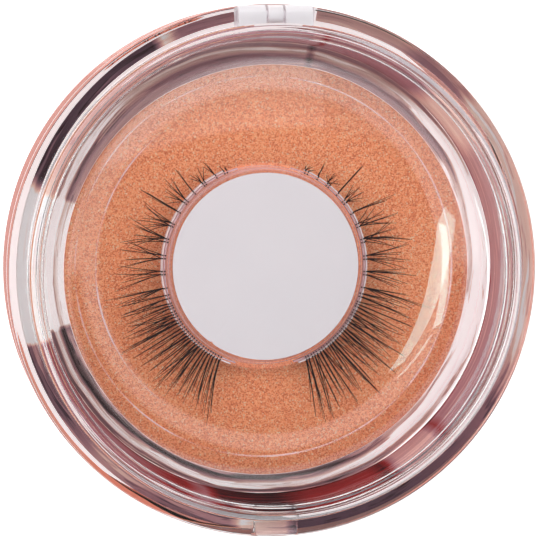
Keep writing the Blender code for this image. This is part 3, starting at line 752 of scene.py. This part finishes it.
# For each tuft: the azimuth of its root and half the root's width in degrees, then the azimuth, the distance from
# the boss's centre in millimetres and the count of hairs of each of its spikes
LEFT_TUFTS = (
    (112.7, 1.6, ((111.5, 14.3, 2), (114.5, 14.5, 2))),
    (118.6, 0.3, ((120.6, 16.1, 3),)),
    (126.3, 1.4, ((129.4, 15.6, 2), (124.2, 15.9, 2), (127.0, 15.2, 2))),
    (133.9, 0.3, ((132.8, 17.7, 4),)),
    (140.8, 1.7, ((136.6, 17.2, 2), (138.9, 17.9, 2), (142.0, 16.9, 2), (145.2, 16.2, 2))),
    (147.7, 0.4, ((148.2, 19.6, 5),)),
    (155.8, 1.7, ((151.6, 18.5, 2), (153.2, 17.7, 2), (156.4, 17.3, 2), (159.8, 18.4, 3), (162.4, 17.1, 2))),
    (164.9, 1.8, ((159.4, 19.4, 3), (161.9, 18.6, 2), (166.0, 18.0, 2), (169.9, 19.7, 3), (171.8, 18.2, 1))),
    (174.3, 1.8, ((169.4, 18.8, 2), (172.7, 19.6, 3), (176.7, 18.7, 2), (180.2, 19.7, 2))),
    (183.3, 1.8, ((178.8, 19.5, 2), (181.9, 20.2, 3), (186.0, 19.3, 2), (188.9, 20.3, 2))),
    (191.9, 1.2, ((190.9, 21.9, 5), (193.6, 20.4, 3), (195.4, 19.0, 2))),
    (196.9, 2.0, ((194.7, 20.6, 3), (198.0, 20.2, 4), (200.3, 19.3, 2))),
    (202.3, 2.2, ((198.6, 20.3, 3), (201.6, 19.9, 4), (204.4, 20.3, 2))),
    (207.4, 2.4, ((202.7, 19.8, 3), (205.9, 21.2, 4), (208.0, 19.0, 2))),
    (212.8, 2.5, ((209.9, 22.5, 6), (206.8, 20.6, 3), (212.6, 20.0, 2))),
    (218.2, 2.5, ((213.6, 21.3, 5), (216.2, 20.4, 3), (219.4, 19.2, 2))),
    (223.4, 2.5, ((217.7, 20.9, 5), (221.2, 20.7, 4), (223.9, 20.2, 2))),
    (228.6, 2.5, ((224.2, 21.3, 4), (226.9, 22.0, 5), (230.6, 20.3, 3))),
    (233.8, 2.5, ((231.1, 21.6, 5), (234.5, 20.8, 4), (236.9, 20.6, 2))),
    (238.8, 2.3, ((238.3, 21.1, 5), (241.0, 20.4, 3), (243.4, 21.0, 4))),
    (243.2, 1.7, ((245.6, 20.9, 3), (248.8, 22.3, 5), (247.0, 21.0, 3))),
)
RIGHT_TUFTS = (
    (65.6, 1.7, ((66.6, 14.4, 2), (63.3, 14.6, 2), (61.6, 14.2, 2))),
    (58.5, 0.4, ((58.9, 15.8, 3),)),
    (51.3, 1.6, ((52.4, 15.4, 3), (48.9, 15.0, 2), (54.3, 14.7, 2))),
    (44.0, 0.3, ((45.4, 18.5, 5),)),
    (38.0, 1.7, ((42.3, 16.0, 2), (39.4, 16.4, 2), (36.2, 16.4, 2), (33.6, 16.0, 2))),
    (30.2, 0.4, ((28.4, 19.7, 4),)),
    (22.7, 1.8, ((27.9, 16.7, 2), (24.6, 17.6, 2), (21.3, 19.0, 3), (17.4, 18.4, 3))),
    (13.6, 1.9, ((18.6, 18.0, 2), (15.5, 18.2, 2), (11.8, 18.7, 2), (9.6, 19.9, 3), (7.0, 17.9, 2))),
    (4.0, 1.9, ((8.4, 19.3, 3), (5.0, 18.4, 2), (1.7, 19.3, 3), (-1.2, 18.6, 2))),
    (-4.8, 1.9, ((-1.4, 19.0, 2), (-4.0, 20.1, 3), (-7.7, 19.2, 2), (-9.8, 18.2, 2))),
    (-12.9, 1.0, ((-14.6, 22.4, 5), (-12.0, 19.6, 2), (-16.6, 20.3, 2))),
    (-17.4, 1.9, ((-17.0, 20.0, 3), (-20.2, 20.8, 4), (-15.2, 18.7, 2))),
    (-22.8, 2.2, ((-22.9, 21.3, 4), (-25.6, 20.6, 3), (-20.3, 19.3, 2))),
    (-28.2, 2.4, ((-27.2, 20.6, 4), (-30.4, 21.0, 4), (-32.3, 19.2, 2))),
    (-33.8, 2.5, ((-33.4, 22.0, 5), (-30.9, 20.0, 2), (-36.0, 20.5, 3))),
    (-39.4, 2.5, ((-39.5, 22.4, 5), (-37.4, 20.8, 3), (-42.4, 20.2, 3))),
    (-44.8, 2.5, ((-44.0, 20.9, 4), (-47.6, 21.4, 4), (-41.6, 19.8, 2))),
    (-50.0, 2.4, ((-48.2, 22.9, 8), (-52.6, 21.2, 3), (-54.4, 19.9, 2))),
    (-55.3, 2.5, ((-56.2, 22.1, 5), (-53.4, 20.6, 3), (-59.0, 20.7, 3))),
    (-60.6, 2.4, ((-62.4, 21.2, 4), (-60.0, 20.3, 3), (-66.2, 22.2, 5))),
    (-65.0, 1.5, ((-69.2, 22.1, 4), (-71.8, 21.0, 3), (-67.4, 20.4, 2))),
)


def hair_finish():
    """Near-black synthetic fibre with a soft sheen, browner where it is thin."""
    finish = Finish(bpy.data.materials.new("black_hair"))
    x, y, z = finish.place()
    lift = z.above(5.9, 2.6)
    strands = finish.noise(finish.vector(x, y, z), 1.3, 2.0, 0.5)
    colour = finish.mix(lift * 0.6 + strands * 0.3, HAIR_COLOUR, HAIR_BROWN)
    return finish.ends_in(finish.principled(Base_Color=colour, Roughness=0.5, Specular_IOR_Level=0.1))


def knot_turns(root_turn, half_width):
    """The azimuths of a tuft's knots, from high to low."""
    count = max(1, round(half_width * 2 / 1.7))
    return [root_turn - ((k + 0.5) / count * 2 - 1) * half_width for k in range(count)]


def hair_way(root, tip, root_lift, rise):
    """Points of one hair, which leaves the band straight out, bends over to its tip and curls up."""
    (turn_a, r_a), (turn_b, r_b) = root, tip
    straight = (turn_a * 0.6 + turn_b * 0.4, r_a + (r_b - r_a) * 0.5)
    a, b, c = (Vector((r * math.cos(math.radians(t)), r * math.sin(math.radians(t)), 0))
               for t, r in ((turn_a, r_a), straight, (turn_b, r_b)))
    for i in range(HAIR_POINTS):
        t = i / (HAIR_POINTS - 1)
        point = a * (1 - t) ** 2 + b * 2 * t * (1 - t) + c * t * t
        yield (point.x, point.y, root_lift + rise * t ** 1.7)


def lash_hairs(tufts, rng):
    """A mesh of all the hairs of one lash, each a tapered tube, made from a curve."""
    curve = bpy.data.curves.new("work", "CURVE")
    curve.dimensions = "3D"
    curve.bevel_depth = HAIR_ROOT * MM
    curve.bevel_resolution = 1
    curve.use_fill_caps = True
    for root_turn, half_width, spikes in tufts:
        ties = knot_turns(root_turn, half_width)
        for place, (tip_turn, reach, count) in enumerate(sorted(spikes, reverse=True)):
            own = round(place / max(1, len(spikes) - 1) * (len(ties) - 1))
            for k in range(count):
                short = 1.0 if k == 0 else rng.uniform(0.72, 0.98)
                tie = ties[own if rng.random() < 0.7 else rng.randrange(len(ties))]
                root = (tie + rng.uniform(-0.25, 0.25), BACKING_OUTER - 0.05)
                spread = ((1 - short) * 9 + 0.3) * (0.4 if count > 3 else 1.0)
                tip = (tip_turn + rng.uniform(-1, 1) * spread,
                       BACKING_OUTER + (reach - BACKING_OUTER) * short)
                rise = (tip[1] - BACKING_OUTER) * rng.uniform(0.24, 0.33)
                points = list(hair_way(root, tip, rng.uniform(4.1, 4.5), rise))
                spline = curve.splines.new("POLY")
                spline.points.add(len(points) - 1)
                for i, (x, y, z) in enumerate(points):
                    share = i / (len(points) - 1)
                    spline.points[i].co = (x * MM, y * MM, z * MM, 1)
                    spline.points[i].radius = 1 + (HAIR_TIP / HAIR_ROOT - 1) * share ** 1.8
    maker = bpy.data.objects.new("work", curve)
    bpy.context.scene.collection.objects.link(maker)
    tubes = bpy.data.meshes.new_from_object(maker.evaluated_get(bpy.context.evaluated_depsgraph_get()))
    bpy.data.objects.remove(maker)
    return tubes


def knots(bm, tufts):
    """The double row of knots that ties each tuft to its slice of band."""
    for root_turn, half_width, spikes in tufts:
        for turn in map(math.radians, knot_turns(root_turn, half_width)):
            for radius in (BAND_INNER + 0.08, BACKING_INNER + 0.13):
                made = bmesh.ops.create_icosphere(bm, subdivisions=1, radius=KNOT * MM)["verts"]
                bmesh.ops.scale(bm, vec=(1.15, 0.85, 1.0), verts=made)
                where = Vector((radius * math.cos(turn), radius * math.sin(turn), BAND_HIGH + 0.06)) * MM
                bmesh.ops.rotate(bm, verts=made, cent=(0, 0, 0), matrix=Matrix.Rotation(turn, 3, "Z"))
                bmesh.ops.translate(bm, vec=where, verts=made)


black_hair = hair_finish()
for lash_side, lash_name, tufts in ((-1, "left", LEFT_TUFTS), (1, "right", RIGHT_TUFTS)):
    hairs_mesh = bmesh.new()
    hairs_mesh.from_mesh(lash_hairs(tufts, random.Random(11 + lash_side)))
    knots(hairs_mesh, tufts)
    hairs = piece(f"{lash_name}_hairs_fine", hairs_mesh, black_hair, shift=TRAY_SHIFT)
    strip = strip_of_band(BACKING_INNER, BACKING_OUTER, BACKING_TURNS, lash_side)
    slice_ = piece(f"{lash_name}_hair_backing", strip, backing_clear, shift=TRAY_SHIFT)
    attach(hairs, "base")
    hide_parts(f"{lash_name}_lash_hairs")
    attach(slice_, "base")


# ------------------------------------------------------------------------------------------- The hinge pin
# A short clear rod that is pushed through the three knuckles.

PIN_RADIUS = 0.5
HINGE_END = 4.9

pin = piece("hinge_pin_clear", rod(PIN_RADIUS, -HINGE_END, HINGE_END, 0.1), milky_plastic)
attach(pin, "base")
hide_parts("hinge_pin")


# ------------------------------------------------------------------------------------------------ The lid
# A thick clear moulding: a dome in a flat flange with a raised rim that rests on the ring, two knuckles behind and
# a thumb tab in front. Two fine turned lines run round the top of the rim.

DOME_RADIUS = 27.9
DOME_RISE = 3.05
DOME_TOP = 18.0
DOME_POWER = 4.0
FLANGE_TOP = DOME_TOP - DOME_RISE
LID_THICKNESS = 1.6
LID_BOTTOM = 12.3
RIM_INNER = 30.8
RIM_OUTER = 32.6
RIM_TOP = 15.2
GROOVES = (31.78, 31.33)
DOME_STEPS = 18
ROOT_RADIUS = 31.65
TAB_HALF = 2.8
TAB_END = 34.7
LID_KNUCKLES = ((-HINGE_END, -1.3), (1.3, HINGE_END))


def dome(radius, top):
    return top - DOME_RISE * (radius / DOME_RADIUS) ** DOME_POWER


outside = [DOME_RADIUS * math.sqrt(1 - k / DOME_STEPS) for k in range(1, DOME_STEPS)]
inside = [DOME_RADIUS * math.sqrt(k / DOME_STEPS) for k in range(1, DOME_STEPS)]
lid_outline = [
    (0, DOME_TOP - LID_THICKNESS, 0), *[(r, dome(r, DOME_TOP - LID_THICKNESS), 0) for r in inside],
    (DOME_RADIUS, FLANGE_TOP - LID_THICKNESS, 0.6), (RIM_INNER, FLANGE_TOP - LID_THICKNESS, 0.2),
    (RIM_INNER, LID_BOTTOM, 0.15), (RIM_OUTER, LID_BOTTOM, 0.15), (RIM_OUTER, RIM_TOP, 0.5),
    *[(r + half, RIM_TOP - 0.08 * (half == 0), 0) for r in GROOVES for half in (0.07, 0, -0.07)],
    (30.95, RIM_TOP, 0), (30.75, FLANGE_TOP, 0), (DOME_RADIUS, FLANGE_TOP, 0.6),
    *[(r, dome(r, DOME_TOP), 0) for r in outside], (0, DOME_TOP, 0),
]
tab = block((-TAB_HALF, -TAB_END, 11.8), (TAB_HALF, -ROOT_RADIUS, 13.5))
round_off(tab, [e for e in tab.edges if all(v.co.y < -34 * MM for v in e.verts)], 0.5)
low_root = block((-4, -32.4, 11.0), (4, -31.0, LID_BOTTOM))
tab = combined(tab, ("DIFFERENCE", low_root))
lid_mesh = combined(
    turned(lid_outline),
    ("UNION", tab),
    *[("UNION", block((low, ROOT_RADIUS, LID_BOTTOM), (high, 34.0, 13.49))) for low, high in LID_KNUCKLES],
    *[("UNION", rod(KNUCKLE_RADIUS, low, high, 0.12)) for low, high in LID_KNUCKLES],
    ("DIFFERENCE", rod(PIN_BORE, -6.0, 6.0)),
)
for face in lid_mesh.faces:
    middle = face.calc_center_median() / MM
    face.material_index = int(abs(middle.x) < 5.0 and middle.y > 32.3)
lid = piece("lid_clear", lid_mesh, clear_plastic, milky_plastic)
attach(lid, "lid")
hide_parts("lid_shell")


# --------------------------------------------------------------------------------------------- The studio
# A white floor, a white room with softboxes overhead for the lid to mirror, and a long lens above the case,
# a little to the left and to the back.

FLOOR_SIZE = 6.0
WHITE = (1, 1, 1, 1)
FLOOR_WHITE = (0.85, 0.85, 0.85, 1)
BACKDROP = (0.93, 0.93, 0.93, 1)
CAMERA_PLACE = (-0.100, 0.050, 0.622)
CAMERA_AIM = (-0.00060, 0.00022, 0.012)
LENS = 315.5
WINDOW_TINT = (0.50, 1.0, 0.98, 1)


def floor_finish():
    finish = Finish(bpy.data.materials.new("studio_floor"))
    return finish.ends_in(
        finish.principled(
            Base_Color=FLOOR_WHITE, Roughness=0.9, Specular_IOR_Level=0.0,
            Emission_Color=WHITE, Emission_Strength=0.72,
        )
    )


floor_mesh = bmesh.new()
bmesh.ops.create_grid(floor_mesh, x_segments=1, y_segments=1, size=FLOOR_SIZE / 2)
bmesh.ops.translate(floor_mesh, vec=(0, 0, -0.02 * MM), verts=floor_mesh.verts)
floor = piece("studio_floor", floor_mesh, floor_finish())

room = Finish(bpy.data.worlds.new("studio_room"))
bpy.context.scene.world = room.owner
towards = room.node("ShaderNodeTexCoord", out="Generated")
sky = room.node("ShaderNodeSeparateXYZ", None, {0: towards})
u, v = sky / sky.out("Z"), sky.out("Y") / sky.out("Z") - 0.036
overhead = sky.out("Z").above(0.15, 0.1)


def softbox(strength, *edges):
    """A light on a ceiling at height 1, inside edges that each have a share of u and of v, a start and a softness."""
    box = strength
    for along_u, along_v, low, soft in edges:
        box = box * (u * along_u + v * along_v).above(low, soft)
    return box


# The back light that hazes the lid, what is to the right of it and the side lights, then a window of cool daylight
light = softbox(0.92, (-0.22, 1, 0.157, 0.05), (0.2, 1, 0.215, 0.04), (-1, 0.233, -0.231, 0.01), (0, -1, -1.3, 0.3))
for box in (
    softbox(0.5, (0, 1, 0.53, 0.1), (-1, 0.233, -0.231, 0.01), (0, -1, -1.3, 0.3)),
    softbox(0.45, (-0.22, 1, 0.157, 0.10), (1, -0.233, 0.231, 0.01), (-1, 0, -0.72, 0.1), (0, -1, -1.3, 0.3)),
    softbox(1.4, (1, 0, 1.4, 0.10), (-1, 0, -4.0, 0.3), (0, 1, -1.4, 0.2), (0, -1, -1.4, 0.2)),
    softbox(1.3, (-1, 0, 0.85, 0.10), (1, 0, -3.5, 0.3), (0, 1, -1.5, 0.2), (0, -1, -1.5, 0.2)),
    softbox(1.2, (0, -1, 1.15, 0.10), (0, 1, -3.2, 0.3), (1, 0, -1.2, 0.2), (-1, 0, -1.2, 0.2)),
):
    light = light + box
panes = softbox(4.2, (1, -0.51, 0.613, 0.003), (1, -0.83, 0.653, 0.003), (1, -1.56, 0.648, 0.003),
                (-1, 0.98, -0.846, 0.003), (-0.27, -1, -0.299, 0.003), (0, 1, -0.355, 0.01))
for box in (
    softbox(5.0, (1, -0.10, 0.675, 0.003), (-1, 0.10, -0.755, 0.003), (0, -1, -0.012, 0.003), (0, 1, -0.30, 0.01)),
    softbox(3.5, (1, -1.45, 1.092, 0.003), (-1, 1.45, -1.130, 0.003), (0, -1, 0.32, 0.01), (0, 1, -0.41, 0.01)),
):
    panes = panes + box
from_lens_u, from_lens_v = u - 0.10, v + 0.02
reach = room.math("SQRT", from_lens_u * from_lens_u + from_lens_v * from_lens_v)
in_front = (v * -1).above(0.12, 0.1)
light = light + reach.within(0.53, 1.3, 0.03) * (1 - reach.above(0.70, 0.03) * in_front) * 1.2
base = 0.18 + (1 - sky.out("Z")).above(0.55, 0.5) * 0.4
glow = light * overhead * 0.95 + base
camera_ray = room.node("ShaderNodeLightPath", out="Is Camera Ray")
seen = room.node("ShaderNodeBackground", None, {"Color": BACKDROP, "Strength": 1.0})
lit = room.node("ShaderNodeBackground", None, {"Color": WHITE, "Strength": glow})
daylight = room.node("ShaderNodeBackground", None, {"Color": WINDOW_TINT, "Strength": panes * overhead})
both = room.node("ShaderNodeAddShader", None, {0: lit, 1: daylight})
room.ends_in(room.node("ShaderNodeMixShader", None, {0: camera_ray, 1: both, 2: seen}))

lens = bpy.data.cameras.new("camera")
lens.lens, lens.sensor_width, lens.clip_start, lens.clip_end = LENS, 36.0, 0.01, 20.0
camera = bpy.data.objects.new("camera", lens)
bpy.context.scene.collection.objects.link(camera)
camera.location = CAMERA_PLACE
camera.rotation_mode = "QUATERNION"
back = (Vector(CAMERA_PLACE) - Vector(CAMERA_AIM)).normalized()
across = Vector((0, 1, 0)).cross(back).normalized()
up = back.cross(across)
camera.rotation_quaternion = Matrix((across, up, back)).transposed().to_quaternion()
bpy.context.scene.camera = camera
bpy.context.scene.view_settings.view_transform = "Standard"
